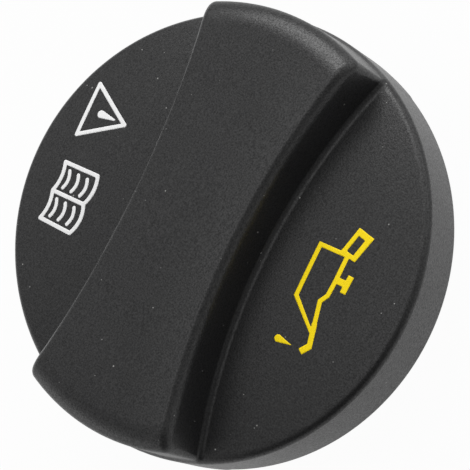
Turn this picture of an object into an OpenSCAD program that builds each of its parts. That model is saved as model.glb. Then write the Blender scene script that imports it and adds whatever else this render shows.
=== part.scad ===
// Oil filler cap: a hollow moulded knob with a waisted grip bar, a bayonet plug and a flat seal ring.
// The cap stands on the lower end of its plug. +Z runs up its axis and X runs along the grip bar.

/* [Knob] */
// Diameter of the knob at the lower edge of its skirt
knob_d = 68; // [60:1:80]
// Height of the skirt, measured at the middle of each side face
skirt_h = 10.8; // [9:0.1:14]
// Draft of the skirt wall, in degrees
skirt_draft = 1.4; // [0.5:0.1:3]
// Radius of the rounded rim
rim_r = 1; // [0.6:0.1:1.6]
// Radius of the skirt's lower edge
skirt_edge_r = 0.3; // [0.2:0.05:0.5]
// Wall thickness of the knob
knob_wall = 2.4; // [1.8:0.1:3]
// Fall of each side face towards the grip bar, in degrees
face_tilt = 5.2; // [3:0.1:6.5]
// Crown of each side face
face_crown = 3.7; // [2.5:0.1:4.5]

/* [Grip bar] */
// Height of the bar's crest above the skirt's lower edge
grip_h = 19.9; // [18:0.1:26]
// Fall of the crest from the middle of the bar to its ends
grip_crown = 1.35; // [0.8:0.05:2]
// Width across the top edges at the waist
grip_waist_w = 18.9; // [15:0.1:22]
// Width across the top edges at the ends
grip_end_w = 26.6; // [24:0.1:30]
// Draft of the bar's flanks, in degrees
grip_draft = 5.7; // [2:0.1:8]
// Radius of the bar's long top edges
grip_edge_r = 1.3; // [0.6:0.1:2]
// Radius between the crest and the bar's end walls
grip_end_r = 2.9; // [1.5:0.1:4]
// Radius of the bar's upright corners
grip_corner_r = 1.8; // [1:0.1:2.4]
// Step from the skirt in to the bar's end walls
grip_end_step = 0.4; // [0.2:0.1:1]
// Draft of the bar's end walls, in degrees
grip_end_draft = 3; // [1:0.5:5]

/* [Ribs under the knob] */
// Thickness of every rib
rib_t = 1.3; // [0.9:0.1:1.8]
// Number of ribs between the weld ring and the skirt
rim_ribs = 16; // [8:4:24]
// Distance between the cross ribs in the grip bar
cross_rib_pitch = 12; // [9:1:18]
// Outer diameter of the weld ring that holds the plug
weld_ring_d = 53.6; // [51:0.1:54.4]
// Depth of the weld ring's tongue in the plug's flange
tongue_h = 1; // [0.6:0.1:1.2]

/* [Bayonet plug] */
// Reach of the plug below the skirt's lower edge
plug_reach = 20.5; // [18:0.5:26]
// Diameter of the plug's flange
flange_d = 56.4; // [56:0.2:58]
// Thickness of the plug's flange
flange_t = 2.2; // [2:0.1:2.6]
// Height of the flange's lower face above the skirt's lower edge
flange_h = 4.8; // [4:0.1:5]
// Diameter of the collar that guides the cap in the filler neck
collar_d = 43; // [41:0.2:44]
// Length of the guide collar
collar_l = 8.7; // [7:0.1:10]
// Outer diameter of the tube below the collar
tube_d = 37; // [35:0.2:38]
// Wall thickness of the tube
tube_wall = 2.2; // [1.8:0.1:3]
// Lead-in chamfer on the collar and on the tube
lead_in = 0.8; // [0.5:0.1:1.2]
// Height of the stiffening cross inside the tube
cross_h = 5; // [3:0.5:8]

/* [Bayonet lugs] */
// Number of lugs
lug_count = 2; // [2:1:3]
// Angle that each lug spans, in degrees
lug_span = 58; // [40:1:70]
// Thickness of a lug at its middle
lug_t = 3.4; // [2.8:0.1:4.5]
// Rise of a lug's ramp from end to end
lug_rise = 1.6; // [0.8:0.1:2]
// Clear height from the collar to the middle of a lug
lug_gap = 4.4; // [3.6:0.1:5]
// How far the lugs stay inside the collar's diameter, on each side
lug_inset = 0.2; // [0.1:0.1:0.6]
// Width of the stop at the end of each lug
stop_w = 2.6; // [2:0.1:4]

/* [Seal ring] */
// Outer diameter of the seal
seal_d = 55.2; // [54:0.2:56]
// Thickness of the seal, beads included
seal_t = 3; // [2.6:0.1:3.2]
// Radius of the two beads on its lower face
bead_r = 0.6; // [0.4:0.05:0.8]
// Depth of the groove that holds the seal's inner edge
seal_bite = 0.7; // [0.4:0.1:1]
// Running clearance between moulded pieces
fit_gap = 0.1; // [0.05:0.05:0.2]

/* [Hidden] */
$fa = 2;
$fs = 0.35;

knob_r = knob_d / 2;
skirt_z = plug_reach;
flange_z = skirt_z + flange_h;
flange_top = flange_z + flange_t;
crest_z = skirt_z + grip_h;

// A rounding meets its neighbours at this small angle, so that no two faces touch without crossing
blend = 8;

// Side faces: domes about an axis that leans towards the grip bar
face_r = knob_r - skirt_h * tan(skirt_draft) + 0.06;
face_dome_r = (pow(face_r, 2) + pow(face_crown, 2)) / (2 * face_crown);
face_axis_z = skirt_z + skirt_h - knob_r * tan(face_tilt);

// Grip bar: a crowned disc, cut by two bodies of revolution that leave the waisted flanks
grip_dome_r = (pow(knob_r, 2) + pow(grip_crown, 2)) / (2 * grip_crown);
waist = grip_waist_w / 2;
end_x = sqrt(pow(knob_r, 2) - pow(grip_end_w / 2, 2));
waist_fall = grip_dome_r - sqrt(pow(grip_dome_r, 2) - pow(waist, 2));
flank_bow = (grip_end_w - grip_waist_w) / 2;
edge_fall = grip_crown - waist_fall;
edge_tilt = atan(edge_fall / flank_bow);
flank_sagitta = norm([flank_bow, edge_fall]);
flank_r = (pow(end_x, 2) + pow(flank_sagitta, 2)) / (2 * flank_sagitta);

// Shelf of the skirt under the bar's ends, level with the side faces where they meet the bar
shelf_w = grip_end_w - 1.6;
shelf_z = skirt_z + skirt_h - (knob_r - shelf_w / 2) * tan(face_tilt);
grip_end_wall_r = knob_r - (shelf_z - skirt_z) * tan(skirt_draft) - grip_end_step;

// Upright corners of the bar. Their roundings meet the walls at this angle, because the walls bow.
corner_blend = 12;
corner_steps = 6;
flank_lean = edge_tilt + grip_draft;

// Where a flank, moved into the bar by offset, lies at x and z
function flank_y(x, z, offset) =
    let (
        up = z - crest_z + waist_fall,
        slope = tan(flank_lean),
        far = -up * sin(edge_tilt) - flank_r,
        near = flank_r + offset / cos(flank_lean) + up * cos(edge_tilt) * slope,
        a = pow(cos(edge_tilt), 2) - pow(sin(edge_tilt) * slope, 2),
        b = far * cos(edge_tilt) - near * sin(edge_tilt) * slope,
        c = pow(far, 2) + pow(x, 2) - pow(near, 2)
    )
    waist + (-b - sqrt(pow(b, 2) - a * c)) / a;

// Where a corner's rounding has its axis at height z, closed in on in a few steps from a first x
function corner_axis(z, x, steps) =
    let (
        offset = grip_corner_r * cos(corner_blend),
        y = flank_y(x, z, offset),
        wall = grip_end_wall_r - (z - shelf_z) * tan(grip_end_draft) - offset / cos(grip_end_draft)
    )
    steps == 0 ? [x, y, z] : corner_axis(z, sqrt(pow(wall, 2) - pow(y, 2)), steps - 1);

// Plug and seal
collar_r = collar_d / 2;
tube_r = tube_d / 2;
groove_r = collar_r - seal_bite;
collar_top = flange_z - seal_t - fit_gap;
collar_z = collar_top - collar_l;
lug_mid_z = collar_z - lug_gap;
lug_r = collar_r - lug_inset;
weld_r = weld_ring_d / 2;

// Half profile of a domed disc with a drafted wall and a rounded edge. The sharp edge would lie at
// [wall_r, edge_z], and the dome's apex at [0, apex_z].
module domed_disc_profile(wall_r, draft, edge_z, apex_z, dome_r, edge_r, floor_z) {
    reach = edge_r * cos(blend);
    first_x = wall_r + edge_r * tan(draft) - reach / cos(draft);
    centre_z = apex_z - dome_r + sqrt(pow(dome_r - reach, 2) - pow(first_x, 2));
    centre_x = wall_r - (centre_z - edge_z) * tan(draft) - reach / cos(draft);
    to_wall = 2 * edge_r * [cos(draft), sin(draft)];
    dome_dir = [centre_x, centre_z - apex_z + dome_r];
    to_dome = 2 * edge_r * dome_dir / norm(dome_dir);
    centre = [centre_x, centre_z];
    difference() {
        intersection() {
            polygon([
                [0, floor_z],
                [wall_r + (edge_z - floor_z) * tan(draft), floor_z],
                [wall_r - (apex_z - edge_z) * tan(draft), apex_z],
                [0, apex_z]
            ]);
            translate([0, apex_z - dome_r])
                circle(r = dome_r, $fn = 720);
        }
        difference() {
            polygon([centre, centre + to_wall, centre + to_wall + to_dome, centre + to_dome]);
            translate(centre)
                circle(r = edge_r);
        }
    }
}

// One side face of the knob, taken in by inset on every side
module face_form(inset) {
    translate([0, 0, face_axis_z])
        rotate([face_tilt, 0, 0])
            rotate_extrude()
                domed_disc_profile(face_r - inset, 0, -inset, face_crown - inset,
                    face_dome_r - inset, rim_r, -knob_r);
}

// Shelf under the ends of the grip bar
module end_shelf() {
    intersection() {
        translate([0, 0, skirt_z])
            cylinder(r = knob_r + 1, h = shelf_z - skirt_z);
        translate([-knob_d, -shelf_w / 2, 0])
            cube([2 * knob_d, shelf_w, crest_z]);
    }
}

// Half profile of the drafted skirt, taken in by inset, its outer lower edge rounded
module skirt_profile(inset) {
    low = [knob_r - inset + inset * tan(skirt_draft), skirt_z - inset];
    high = [low[0] - (grip_h + 2 * inset) * tan(skirt_draft), crest_z + inset];
    wall = [cos(skirt_draft), sin(skirt_draft)];
    reach = skirt_edge_r * cos(blend);
    centre = low + [-reach * (1 + wall[1]) / wall[0], reach];
    difference() {
        polygon([[0, low[1]], low, high, [0, high[1]]]);
        if (inset == 0)
            difference() {
                polygon([
                    centre,
                    centre + 2 * skirt_edge_r * [0, -1],
                    centre + 2 * skirt_edge_r * (wall + [0, -1]),
                    centre + 2 * skirt_edge_r * wall
                ]);
                translate(centre)
                    circle(r = skirt_edge_r);
            }
    }
}

// Skirt and side faces, without the grip bar
module puck_form(inset) {
    intersection() {
        rotate_extrude()
            skirt_profile(inset);
        union() {
            face_form(inset);
            mirror([0, 1, 0])
                face_form(inset);
            if (inset == 0)
                end_shelf();
        }
    }
}

// Half profile of the body that hollows a flank. The sharp top edge lies at [edge_r, 0].
module flank_profile(edge_at, rounding) {
    depth = grip_h + 8;
    into_flank = [cos(flank_lean), -sin(flank_lean)];
    into_top = [sin(edge_tilt), -cos(edge_tilt)];
    reach = rounding * cos(blend) / (1 + into_flank * into_top);
    centre = [edge_at, 0] + reach * (into_flank + into_top);
    difference() {
        polygon([
            [0, -depth],
            [edge_at - depth * tan(flank_lean), -depth],
            centre - rounding * cos(blend) * into_flank,
            centre,
            centre - 2 * rounding * into_top,
            [edge_at, 8],
            [0, 8]
        ]);
        translate(centre)
            circle(r = rounding);
    }
}

// What is cut from one upright corner of the bar
module corner_cut() {
    low = corner_axis(skirt_z, end_x, corner_steps);
    run = corner_axis(crest_z, end_x, corner_steps) - low;
    wall_turn = atan2(low[1], low[0]);
    flank_turn = 90 + atan(2 * flank_bow / end_x);
    to_wall = 2 * grip_corner_r * [cos(wall_turn), sin(wall_turn)];
    to_flank = 2 * grip_corner_r * [cos(flank_turn), sin(flank_turn)];
    lean_turn = atan2(run[1], run[0]);
    translate(low)
        rotate([0, 0, lean_turn])
            rotate([0, acos(run[2] / norm(run)), 0])
                rotate([0, 0, -lean_turn])
                    linear_extrude(height = grip_h + 2)
                        difference() {
                            polygon([[0, 0], to_wall, to_wall + to_flank, to_flank]);
                            circle(r = grip_corner_r);
                        }
}

// Grip bar, taken in by inset on every side
module grip_form(inset) {
    difference() {
        rotate_extrude()
            domed_disc_profile(grip_end_wall_r - inset, grip_end_draft, shelf_z, crest_z - inset,
                grip_dome_r - inset, grip_end_r - inset / 2, skirt_z);
        for (side = [0, 1])
            mirror([0, side, 0])
                translate([0, waist, crest_z - waist_fall])
                    rotate([-edge_tilt, 0, 0])
                        translate([0, flank_r, 0])
                            rotate_extrude($fn = 360)
                                flank_profile(flank_r + inset / cos(flank_lean), grip_edge_r);
        if (inset == 0)
            for (end = [0, 1], side = [0, 1])
                mirror([end, 0, 0])
                    mirror([0, side, 0])
                        corner_cut();
    }
}

// Outer form of the knob, or the form of its cavity when inset is the wall thickness
module knob_form(inset) {
    union() {
        puck_form(inset);
        grip_form(inset);
    }
}

// Ring that is welded into the plug's flange, ribs from it to the skirt, and ribs across the bar
module knob_ribs() {
    intersection() {
        knob_form(knob_wall / 2);
        union() {
            translate([0, 0, flange_top - tongue_h])
                difference() {
                    cylinder(r = weld_r, h = crest_z);
                    translate([0, 0, -1])
                        cylinder(r = weld_r - rib_t, h = crest_z + 2);
                }
            for (i = [0 : rim_ribs - 1])
                rotate([0, 0, (i + 0.5) * 360 / rim_ribs])
                    translate([weld_r - rib_t / 2, -rib_t / 2, flange_top])
                        cube([knob_r, rib_t, crest_z]);
            for (i = [-1 : 1])
                translate([i * cross_rib_pitch - rib_t / 2, -weld_r / 2, flange_top])
                    cube([rib_t, weld_r, crest_z]);
        }
    }
}

module cap_knob() {
    color([0.16, 0.16, 0.17])
        union() {
            difference() {
                knob_form(0);
                knob_form(knob_wall);
            }
            knob_ribs();
        }
}

// Flange, guide collar and tube, turned in one profile
module plug_body() {
    rotate_extrude()
        difference() {
            polygon([
                [0, 0],
                [tube_r - lead_in, 0],
                [tube_r, lead_in],
                [tube_r, collar_z],
                [collar_r - lead_in, collar_z],
                [collar_r, collar_z + lead_in],
                [collar_r, collar_top],
                [groove_r, collar_top],
                [groove_r, flange_z],
                [flange_d / 2, flange_z],
                [flange_d / 2, flange_top],
                [0, flange_top]
            ]);
            translate([-1, -1])
                square([tube_r - tube_wall + 1, flange_z + 1]);
            translate([weld_r - rib_t - fit_gap, flange_top - tongue_h])
                square([rib_t + 2 * fit_gap, tongue_h + 1]);
        }
}

// Sector of the lug ring, between two heights
module lug_sector(from_angle, span, low_z, high_z) {
    far = 2 * collar_d;
    to_angle = from_angle + span;
    translate([0, 0, low_z])
        intersection() {
            difference() {
                cylinder(r = lug_r, h = high_z - low_z);
                translate([0, 0, -1])
                    cylinder(r = tube_r - tube_wall / 2, h = high_z - low_z + 2);
            }
            linear_extrude(height = high_z - low_z)
                polygon([
                    [0, 0],
                    far * [cos(from_angle), sin(from_angle)],
                    far * [cos(to_angle), sin(to_angle)]
                ]);
        }
}

// Ramped lug with its stop
module bayonet_lug() {
    ramp = atan(lug_rise / (2 * lug_r * sin(lug_span / 2)));
    difference() {
        lug_sector(-lug_span / 2, lug_span, lug_mid_z - lug_t, collar_z);
        translate([0, 0, lug_mid_z])
            rotate([ramp, 0, 0])
                translate([0, -collar_d, 0])
                    cube([collar_d, 2 * collar_d, collar_d]);
    }
    stop_span = stop_w / lug_r * 180 / PI;
    lug_sector(lug_span / 2 - stop_span, stop_span, lug_mid_z - lug_t, collar_z);
}

// Cross that stiffens the closed end of the tube
module tube_cross() {
    for (turn = [0, 90])
        rotate([0, 0, turn])
            translate([-tube_r + tube_wall / 2, -rib_t / 2, flange_z - cross_h])
                cube([tube_d - tube_wall, rib_t, cross_h + flange_t / 2]);
}

module bayonet_plug() {
    color([0.2, 0.2, 0.21])
        union() {
            plug_body();
            tube_cross();
            for (i = [0 : lug_count - 1])
                rotate([0, 0, i * 360 / lug_count])
                    bayonet_lug();
        }
}

module seal_ring() {
    bead_span = seal_d / 2 - collar_r;
    color([0.09, 0.09, 0.1])
        rotate_extrude()
            union() {
                translate([groove_r, flange_z - seal_t + bead_r])
                    square([seal_d / 2 - groove_r, seal_t - bead_r]);
                for (share = [0.3, 0.75])
                    translate([collar_r + share * bead_span, flange_z - seal_t + bead_r])
                        circle(r = bead_r);
            }
}

cap_knob();
bayonet_plug();
seal_ring();
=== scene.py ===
import math

import bpy
import numpy as np
from mathutils import Matrix, Vector


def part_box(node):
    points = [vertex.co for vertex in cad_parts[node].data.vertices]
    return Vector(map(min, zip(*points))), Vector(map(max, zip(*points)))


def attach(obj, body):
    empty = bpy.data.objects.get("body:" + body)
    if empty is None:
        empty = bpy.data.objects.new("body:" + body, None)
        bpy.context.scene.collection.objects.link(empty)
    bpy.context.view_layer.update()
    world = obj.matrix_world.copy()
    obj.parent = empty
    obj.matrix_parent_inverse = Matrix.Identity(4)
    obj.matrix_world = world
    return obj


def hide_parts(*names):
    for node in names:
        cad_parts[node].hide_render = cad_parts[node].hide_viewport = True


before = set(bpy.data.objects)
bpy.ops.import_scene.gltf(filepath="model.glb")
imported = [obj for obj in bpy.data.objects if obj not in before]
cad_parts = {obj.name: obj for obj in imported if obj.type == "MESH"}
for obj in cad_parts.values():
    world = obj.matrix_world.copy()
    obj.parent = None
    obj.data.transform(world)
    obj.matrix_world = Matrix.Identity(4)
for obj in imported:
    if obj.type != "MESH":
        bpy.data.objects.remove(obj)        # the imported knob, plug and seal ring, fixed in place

scene = bpy.context.scene
mm = 0.001
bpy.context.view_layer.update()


# Small helpers for node trees

def newNode(tree, kind, inputs=None, **settings):      # an input is a value, or a socket to link
    node = tree.nodes.new(kind)
    for name, value in settings.items():
        setattr(node, name, value)
    for name, value in (inputs or {}).items():
        if isinstance(value, bpy.types.NodeSocket):
            tree.links.new(value, node.inputs[name])
        else:
            node.inputs[name].default_value = value
    return node


def maths(tree, operation, first, second=0.0, third=0.0, clamp=False):
    node = newNode(tree, "ShaderNodeMath", {0: first, 1: second, 2: third},
                   operation=operation, use_clamp=clamp)
    return node.outputs[0]


def between(tree, value, low, high, fromLow=0.0, fromHigh=1.0):
    node = newNode(
        tree, "ShaderNodeMapRange",
        {"Value": value, "From Min": fromLow, "From Max": fromHigh, "To Min": low, "To Max": high},
        clamp=True,
    )
    return node.outputs["Result"]


def blendColors(tree, share, first, second):
    node = newNode(tree, "ShaderNodeMix", {0: share, 6: first, 7: second}, data_type="RGBA")
    return node.outputs[2]


def newGroup(name, inputs, outputs):
    group = bpy.data.node_groups.new(name, "ShaderNodeTree")
    for label, kind, value in inputs:
        socket = group.interface.new_socket(label, in_out="INPUT", socket_type=kind)
        if value is not None:
            socket.default_value = value
    for label, kind in outputs:
        group.interface.new_socket(label, in_out="OUTPUT", socket_type=kind)
    return group, group.nodes.new("NodeGroupInput"), group.nodes.new("NodeGroupOutput")


def placeGroup(tree, group, inputs):
    return newNode(tree, "ShaderNodeGroup", inputs, node_tree=group)


# Effects that the materials share. Points come in as millimetres.

grainForm = {
    "detail": 2.0,
    "roughness": 0.6,
    "patchDetail": 3.0,
    "pitShare": 0.5,       # depth of the pits beside the fine noise
    "toneLow": 0.3,        # level of the noise that gives tone 0
    "toneHigh": 0.7,       # and tone 1
}


def makeMouldedGrain():
    group, inside, out = newGroup(
        "mouldedGrain",
        [("Point", "NodeSocketVector", None), ("Grain Size", "NodeSocketFloat", 0.3),
         ("Patch Size", "NodeSocketFloat", 9.0)],
        [("Height", "NodeSocketFloat"), ("Grain Tone", "NodeSocketFloat"),
         ("Patch Tone", "NodeSocketFloat")],
    )
    point = inside.outputs["Point"]
    perGrain = maths(group, "DIVIDE", 1.0, inside.outputs["Grain Size"])
    perPatch = maths(group, "DIVIDE", 1.0, inside.outputs["Patch Size"])
    fine = newNode(group, "ShaderNodeTexNoise",
                   {"Vector": point, "Scale": perGrain, "Detail": grainForm["detail"],
                    "Roughness": grainForm["roughness"]})
    pits = newNode(group, "ShaderNodeTexVoronoi", {"Vector": point, "Scale": perGrain},
                   feature="SMOOTH_F1")
    patches = newNode(group, "ShaderNodeTexNoise",
                      {"Vector": point, "Scale": perPatch, "Detail": grainForm["patchDetail"]})
    depth = maths(group, "MULTIPLY", pits.outputs["Distance"], grainForm["pitShare"])
    group.links.new(maths(group, "ADD", fine.outputs["Fac"], depth), out.inputs["Height"])
    for noise, label in ((fine, "Grain Tone"), (patches, "Patch Tone")):
        tone = between(group, noise.outputs["Fac"], 0.0, 1.0,
                       grainForm["toneLow"], grainForm["toneHigh"])
        group.links.new(tone, out.inputs[label])
    return group


dustForm = {               # shares of the speck size, from the smallest speck to the largest
    "smallest": 0.5,
    "largest": 1.3,
    "crispness": 2.0,      # slope of a speck's edge
}


def makeDustSpecks():
    group, inside, out = newGroup(
        "dustSpecks",
        [("Point", "NodeSocketVector", None), ("Spacing", "NodeSocketFloat", 0.5),
         ("Speck Size", "NodeSocketFloat", 0.12), ("Amount", "NodeSocketFloat", 0.015)],
        [("Mask", "NodeSocketFloat")],
    )
    perCell = maths(group, "DIVIDE", 1.0, inside.outputs["Spacing"])
    cells = newNode(group, "ShaderNodeTexVoronoi",
                    {"Vector": inside.outputs["Point"], "Scale": perCell, "Randomness": 1.0})
    pick = newNode(group, "ShaderNodeSeparateColor", {"Color": cells.outputs["Color"]})
    chosen = maths(group, "LESS_THAN", pick.outputs["Red"], inside.outputs["Amount"])
    spread = between(group, pick.outputs["Green"], dustForm["smallest"], dustForm["largest"])
    size = maths(group, "MULTIPLY", inside.outputs["Speck Size"], spread)
    reach = maths(group, "MULTIPLY", cells.outputs["Distance"], inside.outputs["Spacing"])
    spot = maths(group, "SUBTRACT", 1.0, maths(group, "DIVIDE", reach, size), clamp=True)
    soft = maths(group, "MULTIPLY", spot, dustForm["crispness"], clamp=True)
    group.links.new(maths(group, "MULTIPLY", soft, chosen), out.inputs["Mask"])
    return group


scratchForm = {
    "runs": [(0.6, 1.0), (2.1, 0.6)],        # each turn in radians, and its share of the amount
    "perAcross": 0.5,      # cells to a millimetre across the scratches
    "perDepth": 0.12,      # and through the surface
    "fadeFrom": 0.1,       # where a scratch starts to fade, in cells from its middle
    "fadeTo": 0.4,         # and where it is gone
}


def makeFineScratches():
    group, inside, out = newGroup(
        "fineScratches",
        [("Point", "NodeSocketVector", None), ("Length", "NodeSocketFloat", 5.0),
         ("Width", "NodeSocketFloat", 0.05), ("Amount", "NodeSocketFloat", 0.1)],
        [("Mask", "NodeSocketFloat")],
    )
    perLength = maths(group, "DIVIDE", 1.0, inside.outputs["Length"])
    stretch = newNode(group, "ShaderNodeCombineXYZ",
                      {"X": perLength, "Y": scratchForm["perAcross"], "Z": scratchForm["perDepth"]})
    masks = []
    for turn, share in scratchForm["runs"]:
        turned = newNode(group, "ShaderNodeVectorRotate",
                         {"Vector": inside.outputs["Point"], "Angle": turn}, rotation_type="Z_AXIS")
        scaled = newNode(group, "ShaderNodeVectorMath",
                         {0: turned.outputs["Vector"], 1: stretch.outputs["Vector"]},
                         operation="MULTIPLY")
        cells = newNode(group, "ShaderNodeTexVoronoi",
                        {"Vector": scaled.outputs["Vector"], "Scale": 1.0}, voronoi_dimensions="3D")
        where = newNode(group, "ShaderNodeVectorMath",
                        {0: scaled.outputs["Vector"], 1: cells.outputs["Position"]},
                        operation="SUBTRACT")
        parts = newNode(group, "ShaderNodeSeparateXYZ", {"Vector": where.outputs["Vector"]})
        pick = newNode(group, "ShaderNodeSeparateColor", {"Color": cells.outputs["Color"]})
        chosen = maths(group, "LESS_THAN", pick.outputs["Blue"],
                       maths(group, "MULTIPLY", inside.outputs["Amount"], share))
        across = maths(group, "DIVIDE", maths(group, "ABSOLUTE", parts.outputs["Y"]),
                       maths(group, "MULTIPLY", inside.outputs["Width"], 0.5))
        line = maths(group, "SUBTRACT", 1.0, across, clamp=True)
        taper = between(group, maths(group, "ABSOLUTE", parts.outputs["X"]), 1.0, 0.0,
                        scratchForm["fadeFrom"], scratchForm["fadeTo"])
        masks.append(maths(group, "MULTIPLY", maths(group, "MULTIPLY", line, taper), chosen))
    group.links.new(maths(group, "MAXIMUM", masks[0], masks[1]), out.inputs["Mask"])
    return group


mouldedGrain = makeMouldedGrain()
dustSpecks = makeDustSpecks()
fineScratches = makeFineScratches()


def startMaterial(name):
    material = bpy.data.materials.new(name)
    material.use_nodes = True
    tree = material.node_tree
    shader = tree.nodes["Principled BSDF"]
    place = newNode(tree, "ShaderNodeTexCoord")
    point = newNode(tree, "ShaderNodeVectorMath",
                    {0: place.outputs["Object"], 1: (1 / mm,) * 3}, operation="MULTIPLY")
    return material, tree, shader, point.outputs["Vector"]


def addBump(tree, shader, height, depth):
    bump = newNode(tree, "ShaderNodeBump",
                   {"Height": height, "Distance": depth * mm, "Strength": 1.0})
    tree.links.new(bump.outputs["Normal"], shader.inputs["Normal"])


# Moulded plastics

knobFinish = {
    "dark": (0.013, 0.013, 0.0134, 1.0),
    "light": (0.019, 0.019, 0.0194, 1.0),
    "dust": (0.3, 0.3, 0.29, 1.0),
    "roughness": 0.31,
    "smoother": 0.02,      # what the patches take off the roughness
    "rougher": 0.03,       # and add to it
    "specular": 0.22,
    "grainSize": 0.25,
    "grainDepth": 0.045,
    "grainShare": 0.6,     # of the tone, and the patches' share
    "patchShare": 0.4,
    "gloss": 0.8,          # the most that a grain adds to the shine
    "dustAmount": 0.013,
    "dustSize": 0.13,
    "dustRough": 0.3,      # what a speck adds to the roughness
    "scratchAmount": 0.003,
    "scratchCover": 0.3,   # how far a scratch takes the color of dust
}

paintedEdgeSheen = {                # painted highlight: a faint lighter band on the bar, along its near long edge only
    "waist": 9.45,         # mm from the middle to the edge
    "bow": 0.004,          # what the edge gains outwards for each square mm along the bar
    "strongest": 0.5,      # mm in from the edge
    "width": 8.0,
    "edgeFade": 0.4,
    "lowest": 26.5,        # mm above the floor
    "topFade": 1.0,
    "speckleLow": 0.3,     # the grain's part in it
    "speckleHigh": 1.7,
    "amount": 0.16,
    "color": (0.07, 0.07, 0.07, 1.0),
}


# Share of the painted highlight along the bar's near long edge, speckled by the grain
def paintedSheenShare(tree, point, grain):
    sheen = paintedEdgeSheen
    place = newNode(tree, "ShaderNodeSeparateXYZ", {"Vector": point})
    squared = maths(tree, "MULTIPLY", place.outputs["X"], place.outputs["X"])
    edge = maths(tree, "ADD", maths(tree, "MULTIPLY", squared, sheen["bow"]), sheen["waist"])
    inward = maths(tree, "SUBTRACT", edge, place.outputs["Y"])
    band = between(tree, inward, 1.0, 0.0, sheen["strongest"], sheen["width"])
    start = between(tree, inward, 0.0, 1.0, -sheen["edgeFade"], sheen["edgeFade"])
    onTop = between(tree, place.outputs["Z"], 0.0, 1.0,
                    sheen["lowest"], sheen["lowest"] + sheen["topFade"])
    share = maths(tree, "MULTIPLY", maths(tree, "MULTIPLY", band, start), onTop)
    speckled = between(tree, grain.outputs["Grain Tone"], sheen["speckleLow"], sheen["speckleHigh"])
    return maths(tree, "MULTIPLY", maths(tree, "MULTIPLY", share, speckled), sheen["amount"])


def roughByPatches(tree, grain, finish):
    return between(tree, grain.outputs["Patch Tone"], finish["roughness"] - finish["smoother"],
                   finish["roughness"] + finish["rougher"])


def makePlastic(name, finish, withPaintedSheen=False):
    material, tree, shader, point = startMaterial(name)
    grain = placeGroup(tree, mouldedGrain, {"Point": point, "Grain Size": finish["grainSize"]})
    dust = placeGroup(tree, dustSpecks, {"Point": point, "Speck Size": finish["dustSize"],
                                         "Amount": finish["dustAmount"]})
    scratch = placeGroup(tree, fineScratches, {"Point": point, "Amount": finish["scratchAmount"]})
    patches = maths(tree, "MULTIPLY", grain.outputs["Patch Tone"], finish["patchShare"])
    tone = maths(tree, "MULTIPLY_ADD", grain.outputs["Grain Tone"], finish["grainShare"], patches)
    body = blendColors(tree, tone, finish["dark"], finish["light"])
    if withPaintedSheen:
        # the painted highlight along the bar's near edge, blended into the body colour
        body = blendColors(tree, paintedSheenShare(tree, point, grain), body, paintedEdgeSheen["color"])
    cover = maths(tree, "MULTIPLY", scratch.outputs["Mask"], finish["scratchCover"])
    marked = blendColors(tree, cover, body, finish["dust"])
    color = blendColors(tree, dust.outputs["Mask"], marked, finish["dust"])
    tree.links.new(color, shader.inputs["Base Color"])
    dusty = maths(tree, "MULTIPLY", dust.outputs["Mask"], finish["dustRough"])
    rough = maths(tree, "ADD", roughByPatches(tree, grain, finish), dusty)
    tree.links.new(rough, shader.inputs["Roughness"])
    tree.links.new(between(tree, grain.outputs["Grain Tone"], 0.0, finish["gloss"]),
                   shader.inputs["Coat Weight"])
    shader.inputs["Coat Roughness"].default_value = finish["roughness"]
    shader.inputs["Specular IOR Level"].default_value = finish["specular"]
    addBump(tree, shader, grain.outputs["Height"], finish["grainDepth"])
    return material


plugFinish = dict(knobFinish, dark=(0.019, 0.019, 0.019, 1.0), light=(0.025, 0.025, 0.0255, 1.0),
                  roughness=0.36, grainSize=0.4, grainDepth=0.008, gloss=0.15, dustAmount=0.004,
                  scratchAmount=0.03)

knobPlastic = makePlastic("knobPlastic", knobFinish, withPaintedSheen=True)
plugPlastic = makePlastic("plugPlastic", plugFinish)

rubberFinish = {
    "dark": (0.012, 0.012, 0.0125, 1.0),
    "bloom": (0.045, 0.045, 0.046, 1.0),
    "bloomShare": 0.6,
    "roughness": 0.62,
    "smoother": 0.06,
    "rougher": 0.08,
    "grainSize": 0.5,
    "patchSize": 5.0,
    "grainDepth": 0.008,
}


def makeSealRubber():
    finish = rubberFinish
    material, tree, shader, point = startMaterial("sealRubber")
    grain = placeGroup(tree, mouldedGrain, {"Point": point, "Grain Size": finish["grainSize"],
                                            "Patch Size": finish["patchSize"]})
    bloom = maths(tree, "MULTIPLY", grain.outputs["Patch Tone"], finish["bloomShare"])
    tree.links.new(blendColors(tree, bloom, finish["dark"], finish["bloom"]),
                   shader.inputs["Base Color"])
    tree.links.new(roughByPatches(tree, grain, finish), shader.inputs["Roughness"])
    addBump(tree, shader, grain.outputs["Height"], finish["grainDepth"])
    return material


sealRubber = makeSealRubber()

printFinish = {
    "yellow": (1.0, 0.75, 0.0, 1.0),
    "yellowThin": (0.88, 0.63, 0.0, 1.0),
    "white": (0.9, 0.9, 0.9, 1.0),
    "whiteThin": (0.76, 0.76, 0.76, 1.0),
    "covered": 0.35,       # tone of the grain from which the ink covers fully
    "roughness": 0.55,
    "smoother": 0.05,
    "rougher": 0.05,
    "specular": 0.25,
    "grainDepth": 0.006,
}


def makePrint(name, full, thin):
    finish = printFinish
    material, tree, shader, point = startMaterial(name)
    grain = placeGroup(tree, mouldedGrain, {"Point": point, "Grain Size": knobFinish["grainSize"]})
    cover = between(tree, grain.outputs["Grain Tone"], 0.0, 1.0, 0.0, finish["covered"])
    tree.links.new(blendColors(tree, cover, thin, full), shader.inputs["Base Color"])
    tree.links.new(roughByPatches(tree, grain, finish), shader.inputs["Roughness"])
    shader.inputs["Specular IOR Level"].default_value = finish["specular"]
    addBump(tree, shader, grain.outputs["Height"], finish["grainDepth"])
    return material


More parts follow.
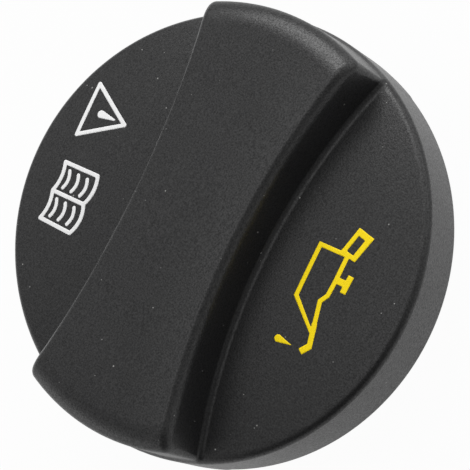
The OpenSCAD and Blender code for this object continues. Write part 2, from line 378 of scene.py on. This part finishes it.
yellowPrint = makePrint("yellowPrint", printFinish["yellow"], printFinish["yellowThin"])
whitePrint = makePrint("whitePrint", printFinish["white"], printFinish["whiteThin"])
print("materials made")


# The knob's own form: a distance field in millimetres, measured from the skirt's lower edge

knobLow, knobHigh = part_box("cap_knob")
skirtZ = knobLow.z / mm
knobR = (knobHigh.x - knobLow.x) / 2 / mm
gripH = (knobHigh.z - knobLow.z) / mm

knobForm = {
    "skirtH": 10.8,        # at the middle of each side face
    "skirtDraft": 1.4,
    "rimRound": 1.05,
    "edgeRound": 0.3,      # lower edge of the skirt
    "wall": 2.4,
    "faceTilt": 5.2,       # fall of a side face towards the bar
    "faceCrown": 3.7,
    "faceOver": 0.06,      # how far a face's dome runs past the skirt
    "gripCrown": 1.35,
    "waistW": 18.9,
    "endW": 26.6,
    "gripDraft": 5.7,
    "topAcross": 1.15,     # rounding of the bar's long top edges, inwards along the crest
    "topDown": 2.1,        # and down the flank
    "cornerLow": 0.5,      # upright corners of the bar, at their foot
    "cornerHigh": 1.2,     # and near the crest
    "cornerTop": 2.0,      # they have that rounding from this far below the crest
    "cornerFrom": 25.0,    # mm along the bar, where the long edges turn into the corners
    "cornerFade": 5.0,
    "endAcross": 3.9,      # rounding of the bar's ends, inwards along the crest
    "endDown": 2.3,        # and down the end wall
    "endStep": 0.46,
    "endDraft": 3.0,
    "shelfIn": 0.8,        # the flat below the bar's ends stays this far inside its corners
    "rootRound": 0.9,      # between the flanks and the side faces
    "rootEnd": 0.35,       # and below the bar's ends
    "rootFrom": 28.5,      # mm along the bar, where the one turns into the other
    "rootFade": 4.0,
    "ribT": 1.3,
    "rimRibs": 16,
    "crossRibs": 3,
    "crossPitch": 12.0,
    "weldR": 26.8,
    "weldZ": 6.0,
    "spokeIn": 0.6,        # how far the rim ribs reach into the weld ring
    "ribZ": 7.0,
    "ribRound": 0.4,
}

meshSpacing = {
    "coarse": 0.6,         # where the form is plain
    "fine": 0.22,          # along the bar's edges and root, and at the skirt's lower edge
    "crestMore": 0.04,     # what is added to that from the rim up to the crest
    "nearEnds": 0.36,      # along the bar, near its ends
    "endsFrom": 28.0,      # mm along the bar
    "crestFrom": 8.5,      # mm up
    "inside": 1.0,         # across the bar, the fine span starts this far inside its waist
    "outside": 1.2,        # and runs this far outside its widest part
    "lowEdge": (-0.5, 0.6),      # mm up
    "past": 1.0,           # how far a span runs past the form
}


def meetRounded(first, second, radius):      # what two forms share, its edge rounded
    corner = np.hypot(np.maximum(first + radius, 0), np.maximum(second + radius, 0))
    return np.minimum(-radius, np.maximum(first, second)) + corner


def meetStretched(first, second, reachFirst, reachSecond):     # the same, the rounding elliptical
    least, inner = 1e-6, 0.02                # deeper than inner, the sharp edge's distance holds
    across = np.maximum(first / reachFirst + 1, 0)
    down = np.maximum(second / reachSecond + 1, 0)
    corner = np.maximum(np.hypot(across, down), least)
    steep = np.maximum(np.hypot(across / reachFirst, down / reachSecond) / corner, least)
    return np.where(corner > inner, (corner - 1) / steep, np.maximum(first, second))


def joinRounded(first, second, radius):      # two forms together, with a fillet between them
    corner = np.hypot(np.maximum(radius - first, 0), np.maximum(radius - second, 0))
    return np.maximum(radius, np.minimum(first, second)) - corner


def tangent(degrees):
    return math.tan(math.radians(degrees))


def sideFace(x, y, z):                       # leaning dome of both side faces
    form = knobForm
    lean = math.radians(form["faceTilt"])
    edgeR = knobR - form["skirtH"] * tangent(form["skirtDraft"]) + form["faceOver"]
    domeR = (edgeR ** 2 + form["faceCrown"] ** 2) / (2 * form["faceCrown"])
    down = form["faceCrown"] - domeR
    centreY = -math.sin(lean) * down
    centreZ = form["skirtH"] - knobR * tangent(form["faceTilt"]) + math.cos(lean) * down
    return np.sqrt(x ** 2 + (np.abs(y) - centreY) ** 2 + (z - centreZ) ** 2) - domeR


def gripBar(x, y, z):                        # waisted bar: two hollow flanks, a crest and two ends
    form = knobForm
    domeR = (knobR ** 2 + form["gripCrown"] ** 2) / (2 * form["gripCrown"])
    waist = form["waistW"] / 2
    endX = math.sqrt(knobR ** 2 - (form["endW"] / 2) ** 2)
    waistFall = domeR - math.sqrt(domeR ** 2 - waist ** 2)
    bow = (form["endW"] - form["waistW"]) / 2
    tilt = math.atan2(form["gripCrown"] - waistFall, bow)
    sagitta = math.hypot(bow, form["gripCrown"] - waistFall)
    hollowR = (endX ** 2 + sagitta ** 2) / (2 * sagitta)
    lean = tilt + math.radians(form["gripDraft"])
    outY, upZ = np.abs(y) - waist, z - (gripH - waistFall)
    hollowY = outY * math.cos(tilt) - upZ * math.sin(tilt) - hollowR
    hollowZ = outY * math.sin(tilt) + upZ * math.cos(tilt)
    flank = (hollowR + hollowZ * math.tan(lean) - np.hypot(x, hollowY)) * math.cos(lean)
    crest = np.sqrt(x ** 2 + y ** 2 + (z - gripH + domeR) ** 2) - domeR
    shelfZ = endShelfZ()
    endR = knobR - shelfZ * tangent(form["skirtDraft"]) - form["endStep"]
    draft = math.radians(form["endDraft"])
    endWall = (np.hypot(x, y) - endR + (z - shelfZ) * math.tan(draft)) * math.cos(draft)
    ends = meetStretched(endWall, crest, form["endAcross"], form["endDown"])
    nearEnd = np.clip((np.abs(x) - form["cornerFrom"]) / form["cornerFade"], 0, 1)
    nearEnd = nearEnd * nearEnd * (3 - 2 * nearEnd)
    rise = np.clip((z - shelfZ) / (gripH - form["cornerTop"] - shelfZ), 0, 1)
    corner = form["cornerLow"] + (form["cornerHigh"] - form["cornerLow"]) * rise
    across = form["topAcross"] + (corner - form["topAcross"]) * nearEnd
    down = form["topDown"] + (corner - form["topDown"]) * nearEnd
    return meetStretched(flank, ends, across, down)


def endShelfZ():                             # height of the flat below the bar's ends
    halfShelf = knobForm["endW"] / 2 - knobForm["shelfIn"]
    return knobForm["skirtH"] - (knobR - halfShelf) * tangent(knobForm["faceTilt"])


def knobOuter(x, y, z):                      # outer form, open below
    form = knobForm
    draft = math.radians(form["skirtDraft"])
    skirt = (np.hypot(x, y) - knobR + z * math.tan(draft)) * math.cos(draft)
    shelf = np.maximum(z - endShelfZ(), np.abs(y) - form["endW"] / 2 + form["shelfIn"])
    top = np.minimum(sideFace(x, y, z), shelf)
    puck = meetRounded(skirt, top, form["rimRound"])
    nearEnd = np.clip((np.abs(x) - form["rootFrom"]) / form["rootFade"], 0, 1)
    root = form["rootRound"] + (form["rootEnd"] - form["rootRound"]) * nearEnd
    return joinRounded(puck, gripBar(x, y, z), root)


def knobField(x, y, z):                      # the whole moulding: shell, weld ring and ribs
    form = knobForm
    outer = knobOuter(x, y, z)
    shell = np.maximum(meetRounded(outer, -z, form["edgeRound"]), -(outer + form["wall"]))
    radius = np.hypot(x, y)
    ring = np.maximum(np.maximum(radius - form["weldR"], form["weldR"] - form["ribT"] - radius),
                      form["weldZ"] - z)
    step = 2 * math.pi / form["rimRibs"]
    turn = np.mod(np.arctan2(y, x), step) - step / 2
    spoke = np.maximum(np.abs(radius * np.sin(turn)) - form["ribT"] / 2,
                       form["weldR"] - form["spokeIn"] - radius)
    cross = np.abs(np.mod(x + form["crossPitch"] / 2, form["crossPitch"]) - form["crossPitch"] / 2)
    cross = np.maximum(np.maximum(cross - form["ribT"] / 2, np.abs(y) - form["weldR"] / 2),
                       np.abs(x) - form["crossRibs"] / 2 * form["crossPitch"])
    ribs = np.maximum(np.minimum(spoke, cross), form["ribZ"] - z)
    inner = np.maximum(joinRounded(ring, ribs, form["ribRound"]), outer + form["wall"] / 2)
    return joinRounded(shell, inner, form["ribRound"])


def gradientOf(field, points, step=0.01):
    slopes = []
    for axis in range(3):
        ahead, behind = points.copy(), points.copy()
        ahead[:, axis] += step
        behind[:, axis] -= step
        slopes.append((field(*ahead.T) - field(*behind.T)) / (2 * step))
    return np.stack(slopes, axis=1)


def gridLine(low, high, spans):              # places along one axis, closer together in the spans
    coarse = meshSpacing["coarse"]
    margin = 2.5 * coarse
    places = [low - margin]
    while places[-1] < high + margin:
        steps = [step for start, end, step in spans if start <= places[-1] <= end]
        places.append(places[-1] + min(steps, default=coarse))
    return np.array(places)


def bothSides(start, end, step):             # the same span on the minus and the plus side
    return [(-end, -start, step), (start, end, step)]


def meshOfField(field, lines, reach):        # surface net, its points drawn onto the surface
    drawSteps, leastSlope = 6, 0.05
    gridX, gridY, gridZ = np.meshgrid(*lines, indexing="ij")
    values = field(gridX, gridY, gridZ)
    shape = tuple(n - 1 for n in values.shape)

    def corner(i, j, k):
        return values[i:i + shape[0], j:j + shape[1], k:k + shape[2]]

    total = np.zeros(shape + (3,))
    count = np.zeros(shape)
    for axis in range(3):
        for a in (0, 1):
            for b in (0, 1):
                start = [a, b]
                start.insert(axis, 0)
                end = list(start)
                end[axis] = 1
                first, second = corner(*start), corner(*end)
                crossed = (first < 0) != (second < 0)
                share = np.where(crossed, first / np.where(crossed, first - second, 1), 0)
                for part in range(3):
                    total[..., part] += np.where(crossed, share if part == axis else start[part], 0)
                count += crossed
    used = count > 0
    number = np.full(shape, -1)
    number[used] = np.arange(used.sum())
    where = np.argwhere(used) + total[used] / count[used][:, None]
    points = np.stack([np.interp(where[:, axis], np.arange(len(lines[axis])), lines[axis])
                       for axis in range(3)], axis=1)
    home = points.copy()
    for _ in range(drawSteps):
        slope = gradientOf(field, points)
        steep = np.maximum((slope ** 2).sum(1), leastSlope)
        points -= field(*points.T)[:, None] * slope / steep[:, None]
        points = np.clip(points, home - reach, home + reach)
    quads = []
    for axis, (second, third) in enumerate(((1, 2), (2, 0), (0, 1))):
        here = [slice(1, n) for n in shape]
        here[axis] = slice(0, shape[axis])
        beyond = list(here)
        beyond[axis] = slice(1, shape[axis] + 1)
        inside, insideNext = values[tuple(here)] < 0, values[tuple(beyond)] < 0
        around = []
        for a, b in ((1, 1), (0, 1), (0, 0), (1, 0)):
            part = list(here)
            part[second] = slice(1 - a, shape[second] - a)
            part[third] = slice(1 - b, shape[third] - b)
            around.append(number[tuple(part)])
        faces = np.stack(around, axis=-1)
        quads.append(faces[inside & ~insideNext])
        quads.append(faces[~inside & insideNext][:, ::-1])
    return points, np.concatenate(quads)


def addMesh(name, points, faces, normals=None):     # points in millimetres, in the part's frame
    mesh = bpy.data.meshes.new(name)
    mesh.from_pydata((points * mm).tolist(), [], [list(map(int, face)) for face in faces])
    mesh.shade_smooth()
    if normals is not None:
        lengths = np.maximum(np.linalg.norm(normals, axis=1), 1e-9)
        mesh.normals_split_custom_set_from_vertices((normals / lengths[:, None]).tolist())
    piece = bpy.data.objects.new(name, mesh)
    scene.collection.objects.link(piece)
    return piece


def makeKnob():
    spacing, fine = meshSpacing, meshSpacing["fine"]
    alongBar = bothSides(spacing["endsFrom"], knobR + spacing["past"], spacing["nearEnds"])
    acrossBar = bothSides(knobForm["waistW"] / 2 - spacing["inside"],
                          knobForm["endW"] / 2 + spacing["outside"], fine)
    upwards = [(*spacing["lowEdge"], fine),
               (spacing["crestFrom"], gripH + spacing["past"], fine + spacing["crestMore"])]
    lines = [gridLine(-knobR, knobR, alongBar), gridLine(-knobR, knobR, acrossBar),
             gridLine(0, gripH, upwards)]
    points, faces = meshOfField(knobField, lines, fine)
    normals = gradientOf(knobField, points, 0.02)
    points[:, 2] += skirtZ
    limit = [(np.array(corner) / mm) for corner in (knobLow, knobHigh)]
    points = np.clip(points, *limit)
    knob = addMesh("knob_moulding", points, faces, normals)
    knob.data.materials.append(knobPlastic)
    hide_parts("cap_knob")
    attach(knob, "root")
    print("knob made:", len(points), "points,", len(faces), "faces")


makeKnob()


# The plug and the seal keep their CAD meshes and take a finish

def dressNode(name, material):
    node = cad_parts[name]
    node.data.materials.clear()
    node.data.materials.append(material)


dressNode("bayonet_plug", plugPlastic)
dressNode("seal_ring", sealRubber)
print("plug and seal dressed")


# Printed marks: flat shapes in plan, laid on the side faces

markForm = {
    "stroke": 0.66,        # width of a printed line
    "pageStroke": 0.6,     # the short lines on the book's pages
    "proud": 0.035,        # above the face
    "sunk": 0.08,          # into the face
    "cell": 0.13,
}


def faceHeight(x, y):                        # height of a side face above the skirt's edge
    z = np.full_like(x, knobForm["skirtH"])
    for _ in range(6):
        z = z - sideFace(x, y, z)
    return z


def barShape(x, y, start, end, width, over=(0, 0), endWidth=None):     # straight, with butt ends
    endWidth = width if endWidth is None else endWidth
    start, end = np.array(start, float), np.array(end, float)
    along = (end - start) / np.linalg.norm(end - start)
    start, end = start - along * over[0], end + along * over[1]
    length = np.linalg.norm(end - start)
    u = (x - start[0]) * along[0] + (y - start[1]) * along[1]
    v = (y - start[1]) * along[0] - (x - start[0]) * along[1]
    half = (width + (endWidth - width) * np.clip(u / length, 0, 1)) / 2
    outU, outV = np.abs(u - length / 2) - length / 2, np.abs(v) - half
    outside = np.hypot(np.maximum(outU, 0), np.maximum(outV, 0))
    return outside + np.minimum(np.maximum(outU, outV), 0)


def roundBar(x, y, start, end, width, endWidth=None):      # straight, with round ends
    endWidth = width if endWidth is None else endWidth
    start, end = np.array(start, float), np.array(end, float)
    span = end - start
    share = np.clip(((x - start[0]) * span[0] + (y - start[1]) * span[1]) / (span @ span), 0, 1)
    half = width / 2 + (endWidth - width) / 2 * share
    return np.hypot(x - start[0] - share * span[0], y - start[1] - share * span[1]) - half


def strokeShape(x, y, route, width, closed=False, rounded=False):      # a line through points
    route = [np.array(p, float) for p in route]
    if closed:
        route = route + route[:2]
    found = []
    for index in range(len(route) - (2 if closed else 1)):
        start, end = route[index], route[index + 1]
        if rounded:
            found.append(roundBar(x, y, start, end, width))
            continue
        over = [0.0, 0.0]
        before = route[index - 1] if index > 0 else (route[-3] if closed else None)
        after = route[index + 2] if index + 2 < len(route) else None
        for side, (a, b, c) in enumerate(((before, start, end), (start, end, after))):
            if a is None or c is None:
                continue
            first, second = (b - a) / np.linalg.norm(b - a), (c - b) / np.linalg.norm(c - b)
            turn = math.acos(max(-1.0, min(1.0, float(first @ second))))
            over[side] = min(width / 2 * math.tan(turn / 2), width)
        found.append(barShape(x, y, start, end, width, over))
    return np.minimum.reduce(found)


def makeMark(name, shape, box, material):
    cell, stride = markForm["cell"], 10000
    drawSteps, gap, leastSlope = 8, 0.01, 0.2
    lineX = np.arange(box[0], box[2] + cell, cell)
    lineY = np.arange(box[1], box[3] + cell, cell)
    gridX, gridY = np.meshgrid(lineX, lineY, indexing="ij")
    midX, midY = np.meshgrid(lineX[:-1] + cell / 2, lineY[:-1] + cell / 2, indexing="ij")
    filled = np.argwhere(shape(midX, midY) < 0)
    corners = np.stack([filled + step for step in ((0, 0), (1, 0), (1, 1), (0, 1))], axis=1)
    keys, faces = np.unique(corners.reshape(-1, 2) @ [stride, 1], return_inverse=True)
    faces = faces.reshape(-1, 4)
    x, y = (grid[keys // stride, keys % stride] for grid in (gridX, gridY))
    sides = np.concatenate([np.stack([faces[:, i], faces[:, (i + 1) % 4]], 1) for i in range(4)])
    pairs = {tuple(edge) for edge in sides.tolist()}
    rim = [edge for edge in sides.tolist() if (edge[1], edge[0]) not in pairs]
    onRim = np.unique(np.array(rim))
    for _ in range(drawSteps):               # the outline's points move onto the true outline
        px, py = x[onRim], y[onRim]
        value = shape(px, py)
        slopeX = (shape(px + gap, py) - shape(px - gap, py)) / (2 * gap)
        slopeY = (shape(px, py + gap) - shape(px, py - gap)) / (2 * gap)
        steep = np.maximum(slopeX ** 2 + slopeY ** 2, leastSlope)
        x[onRim] = px - value * slopeX / steep
        y[onRim] = py - value * slopeY / steep
    base = faceHeight(x, y) + skirtZ
    top = np.stack([x, y, base + markForm["proud"]], 1)
    under = np.stack([x, y, base - markForm["sunk"]], 1)
    count = len(x)
    walls = [(b, a, a + count, b + count) for a, b in rim]
    allFaces = faces.tolist() + (faces[:, ::-1] + count).tolist() + walls
    mark = addMesh(name, np.concatenate([top, under]), allFaces)
    mark.data.materials.append(material)
    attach(mark, "root")
    print(name, "made:", len(allFaces), "faces")


triangleMark = {
    "box": (-14, -30, -2, -19),              # the field that is searched for it
    "corners": [(-12.55, -28.01), (-4.06, -27.53), (-8.44, -20.29)],
    "drop": (-8.42, -25.1), "dropTip": (-8.48, -22.4),        # an oil drop inside
    "dropWidth": 1.25, "tipWidth": 0.3,
}

bookMark = {               # arcs have a start, an end and a bulge in between
    "box": (-1.5, -29, 12, -18),
    "lowEdge": [((0.5, -27.07), (5.25, -27.0), 0.5), ((5.25, -27.0), (9.87, -27.03), 0.5)],
    "highEdge": [((0.22, -20.46), (5.0, -20.62), 0.56), ((5.0, -20.62), (9.82, -20.75), 0.68)],
    "lines": [((1.46, -25.57), (4.2, -25.44), 0.38), ((1.43, -23.74), (4.14, -23.69), 0.38),
              ((1.4, -21.93), (4.12, -21.91), 0.38)],
    "nextPage": 4.72,      # from a left page's line to the right page's
}

oilCanMark = {
    "box": (-12, 16, 12, 26),
    "body": [(2.53, 17.76), (-5.38, 17.68), (-5.55, 22.12)],
    "spout": [(2.4, 17.62), (6.3, 22.2)],
    "top": [(-5.55, 22.12), (-1.67, 22.17), (0.67, 22.07), (1.81, 21.4), (5.18, 22.17)],
    "handle": [(-9.43, 22.05), (-9.02, 24.06), (-5.52, 23.2), (-5.85, 21.25)],
    "heavy": [             # start, end and width of the thicker strokes
        ((-9.3, 22.05), (-8.84, 24.02), 0.98),
        ((-8.9, 23.88), (-5.5, 23.1), 0.76),
        ((5.0, 22.13), (8.3, 22.88), 0.8),
        ((7.95, 22.98), (9.38, 21.9), 0.94),
        ((-1.84, 22.3), (-1.86, 23.9), 0.98),
        ((-3.2, 23.95), (-0.52, 23.89), 0.88),
    ],
    "thinEnd": 0.5,        # where the spout's lower line runs out
    "drop": (9.14, 18.05), "dropTip": (9.14, 20.3),
    "dropWidth": 1.1, "tipWidth": 0.06,
}


def dropShape(x, y, mark):
    return roundBar(x, y, mark["drop"], mark["dropTip"], mark["dropWidth"], mark["tipWidth"])


def triangleShape(x, y):
    mark = triangleMark
    sides = strokeShape(x, y, mark["corners"], markForm["stroke"], closed=True, rounded=True)
    return np.minimum(sides, dropShape(x, y, mark))


def arcRoute(start, end, bulge, steps=8):    # points along a parabola
    route = []
    for index in range(steps + 1):
        t = index / steps
        route.append((start[0] + (end[0] - start[0]) * t,
                      start[1] + (end[1] - start[1]) * t + 4 * bulge * t * (1 - t)))
    return route


def bookShape(x, y):
    mark, width = bookMark, markForm["stroke"]
    low, high = mark["lowEdge"], mark["highEdge"]
    routes = [arcRoute(*arc) for arc in low + high]
    routes += [[low[0][0], high[0][0]], [low[0][1], high[0][1]], [low[1][1], high[1][1]]]
    found = [strokeShape(x, y, route, width, rounded=True) for route in routes]
    for start, end, bulge in mark["lines"]:
        for shift in (0, mark["nextPage"]):
            route = arcRoute((start[0] + shift, start[1]), (end[0] + shift, end[1]), bulge)
            found.append(strokeShape(x, y, route, markForm["pageStroke"], rounded=True))
    return np.minimum.reduce(found)


def oilCanShape(x, y):
    mark, width = oilCanMark, markForm["stroke"]
    found = [strokeShape(x, y, mark[part], width) for part in ("body", "top")]
    found.append(barShape(x, y, *mark["spout"], width, endWidth=mark["thinEnd"]))
    found.append(strokeShape(x, y, mark["handle"], width, closed=True))
    found += [barShape(x, y, start, end, heavy) for start, end, heavy in mark["heavy"]]
    found.append(dropShape(x, y, mark))
    return np.minimum.reduce(found)


makeMark("triangle_mark", triangleShape, triangleMark["box"], whitePrint)
makeMark("book_mark", bookShape, bookMark["box"], whitePrint)
makeMark("oil_can_mark", oilCanShape, oilCanMark["box"], yellowPrint)


# Camera at the photograph's viewing angle

cameraPlace = {
    "aim": (-1.07, 3.95, skirtZ + 10.0),     # mm
    "distance": 248.8,
    "elevation": 62.57,
    "side": -2.54,         # from +Y towards +X
    "roll": 66.23,         # the picture's top turns towards its right
    "lens": 131.3,
    "sensor": 36.0,
    "shift": (-0.00085, 0.00075),            # share of the frame
    "clip": (0.005, 20.0),                   # metres
}


def makeCamera(place):
    elevation, side, roll = (math.radians(place[key]) for key in ("elevation", "side", "roll"))
    back = Vector((math.sin(side) * math.cos(elevation), math.cos(side) * math.cos(elevation),
                   math.sin(elevation)))     # from the aim to the camera
    level = Vector((0, 0, 1)).cross(back).normalized()
    upright = back.cross(level)
    up = upright * math.cos(roll) + level * math.sin(roll)
    right = up.cross(back)
    turn = Matrix((right, up, back)).transposed().to_4x4()
    data = bpy.data.cameras.new("camera")
    data.lens, data.sensor_width = place["lens"], place["sensor"]
    data.shift_x, data.shift_y = place["shift"]
    data.clip_start, data.clip_end = place["clip"]
    camera = bpy.data.objects.new("camera", data)
    stand = (Vector(place["aim"]) + back * place["distance"]) * mm
    camera.matrix_world = Matrix.Translation(stand) @ turn
    scene.collection.objects.link(camera)
    scene.camera = camera


makeCamera(cameraPlace)


# White floor, pale surround and one softbox

studio = {
    "floorHalf": 1.5,                # metres
    "floorColor": (0.6, 0.6, 0.6, 1.0),
    "shadowShare": 0.035,            # how much of the floor's own shading the camera sees
    "floorInReflections": 0.41,      # share of plain white in what the cap mirrors of the floor
    "surround": 0.13,                # level of the pale surround at the horizon
    "surroundUp": 0.42,              # what it gains towards the top
    "surroundBack": 0.82,            # what it gains on the side away from the camera
    "surroundLow": 0.15,             # share of that gain at the horizon
    "surroundFull": 0.9,             # how far up a direction points when that gain is whole
    "sideShade": 0.36,               # what it loses aloft on the side away from the softbox
    "shadeFrom": 0.1,                # how far towards +X a direction points when the loss starts
    "shadeFull": 0.4,                # and when it is whole
    "glows": [                       # soft glows: direction from +X and up, strength, tightness
        (155.0, 8.0, 1.5, 8.0),
        (-28.0, -4.0, 1.6, 20.0),
        (150.0, 60.0, 1.1, 60.0),
        (60.0, 82.0, 0.9, 60.0),
    ],
    "softboxAround": 202.0,          # direction of the softbox, from +X and up
    "softboxUp": 38.0,
    "softboxDistance": 1.2,          # metres
    "softboxSize": 0.8,
    "softboxLevel": 4.2,
}


def makeFloor():
    half = studio["floorHalf"]
    corners = np.array([(-half, -half, 0), (half, -half, 0), (half, half, 0), (-half, half, 0)])
    floor = addMesh("floor", corners / mm, [(0, 1, 2, 3)])
    material = bpy.data.materials.new("whiteFloor")
    material.use_nodes = True
    tree = material.node_tree
    tree.nodes.clear()
    output = newNode(tree, "ShaderNodeOutputMaterial")
    matte = newNode(tree, "ShaderNodeBsdfDiffuse", {"Color": studio["floorColor"]})
    glow = newNode(tree, "ShaderNodeEmission", {"Color": (1, 1, 1, 1), "Strength": 1.0})
    path = newNode(tree, "ShaderNodeLightPath")
    seen = maths(tree, "MULTIPLY", path.outputs["Is Camera Ray"], 1 - studio["shadowShare"])
    mirrored = maths(tree, "MULTIPLY", path.outputs["Is Glossy Ray"], studio["floorInReflections"])
    mix = newNode(tree, "ShaderNodeMixShader",
                  {0: maths(tree, "ADD", seen, mirrored), 1: matte.outputs[0], 2: glow.outputs[0]})
    tree.links.new(mix.outputs[0], output.inputs["Surface"])
    floor.data.materials.append(material)


def direction(around, up):                   # degrees, from +X and from the floor
    around, up = math.radians(around), math.radians(up)
    return Vector((math.cos(around) * math.cos(up), math.sin(around) * math.cos(up), math.sin(up)))


def makeSurround():
    world = bpy.data.worlds.new("paleSurround")
    scene.world = world
    world.use_nodes = True
    tree = world.node_tree
    tree.nodes.clear()
    output = newNode(tree, "ShaderNodeOutputWorld")
    place = newNode(tree, "ShaderNodeTexCoord")
    toward = newNode(tree, "ShaderNodeSeparateXYZ", {0: place.outputs["Generated"]})
    rise = maths(tree, "MULTIPLY", toward.outputs["Z"], studio["surroundUp"])
    back = maths(tree, "MULTIPLY", toward.outputs["Y"], -studio["surroundBack"])
    aloft = between(tree, toward.outputs["Z"], studio["surroundLow"], 1.0,
                    0.0, studio["surroundFull"])
    back = maths(tree, "MULTIPLY", back, aloft)
    level = maths(tree, "ADD", maths(tree, "ADD", rise, back), studio["surround"])
    level = maths(tree, "MAXIMUM", level, studio["surround"])
    shade = between(tree, toward.outputs["X"], 0.0, studio["sideShade"],
                    studio["shadeFrom"], studio["shadeFull"])
    level = maths(tree, "SUBTRACT", level, maths(tree, "MULTIPLY", shade, toward.outputs["Z"]))
    for around, up, strength, tight in studio["glows"]:
        glow = newNode(tree, "ShaderNodeVectorMath",
                       {0: place.outputs["Generated"], 1: direction(around, up)},
                       operation="DOT_PRODUCT")
        near = maths(tree, "MULTIPLY_ADD", glow.outputs["Value"], 0.5, 0.5)
        near = maths(tree, "POWER", near, tight)
        level = maths(tree, "ADD", level, maths(tree, "MULTIPLY", near, strength))
    level = maths(tree, "MAXIMUM", level, 0.0)
    path = newNode(tree, "ShaderNodeLightPath")
    sky = newNode(tree, "ShaderNodeBackground", {"Color": (1, 1, 1, 1), "Strength": level})
    white = newNode(tree, "ShaderNodeBackground", {"Color": (1, 1, 1, 1), "Strength": 1.0})
    mix = newNode(tree, "ShaderNodeMixShader",
                  {0: path.outputs["Is Camera Ray"], 1: sky.outputs[0], 2: white.outputs[0]})
    tree.links.new(mix.outputs[0], output.inputs["Surface"])


def makeSoftbox():
    away = direction(studio["softboxAround"], studio["softboxUp"])
    data = bpy.data.lights.new("softbox", "AREA")
    data.shape, data.size = "DISK", studio["softboxSize"]
    data.energy = studio["softboxLevel"] * math.pi * math.pi * studio["softboxSize"] ** 2 / 4
    lamp = bpy.data.objects.new("softbox", data)
    lamp.location = away * studio["softboxDistance"]
    lamp.rotation_mode = "QUATERNION"
    lamp.rotation_quaternion = away.to_track_quat("Z", "Y")
    scene.collection.objects.link(lamp)


makeFloor()
makeSurround()
makeSoftbox()
scene.view_settings.view_transform = "Standard"
print("camera, floor and lamps set")
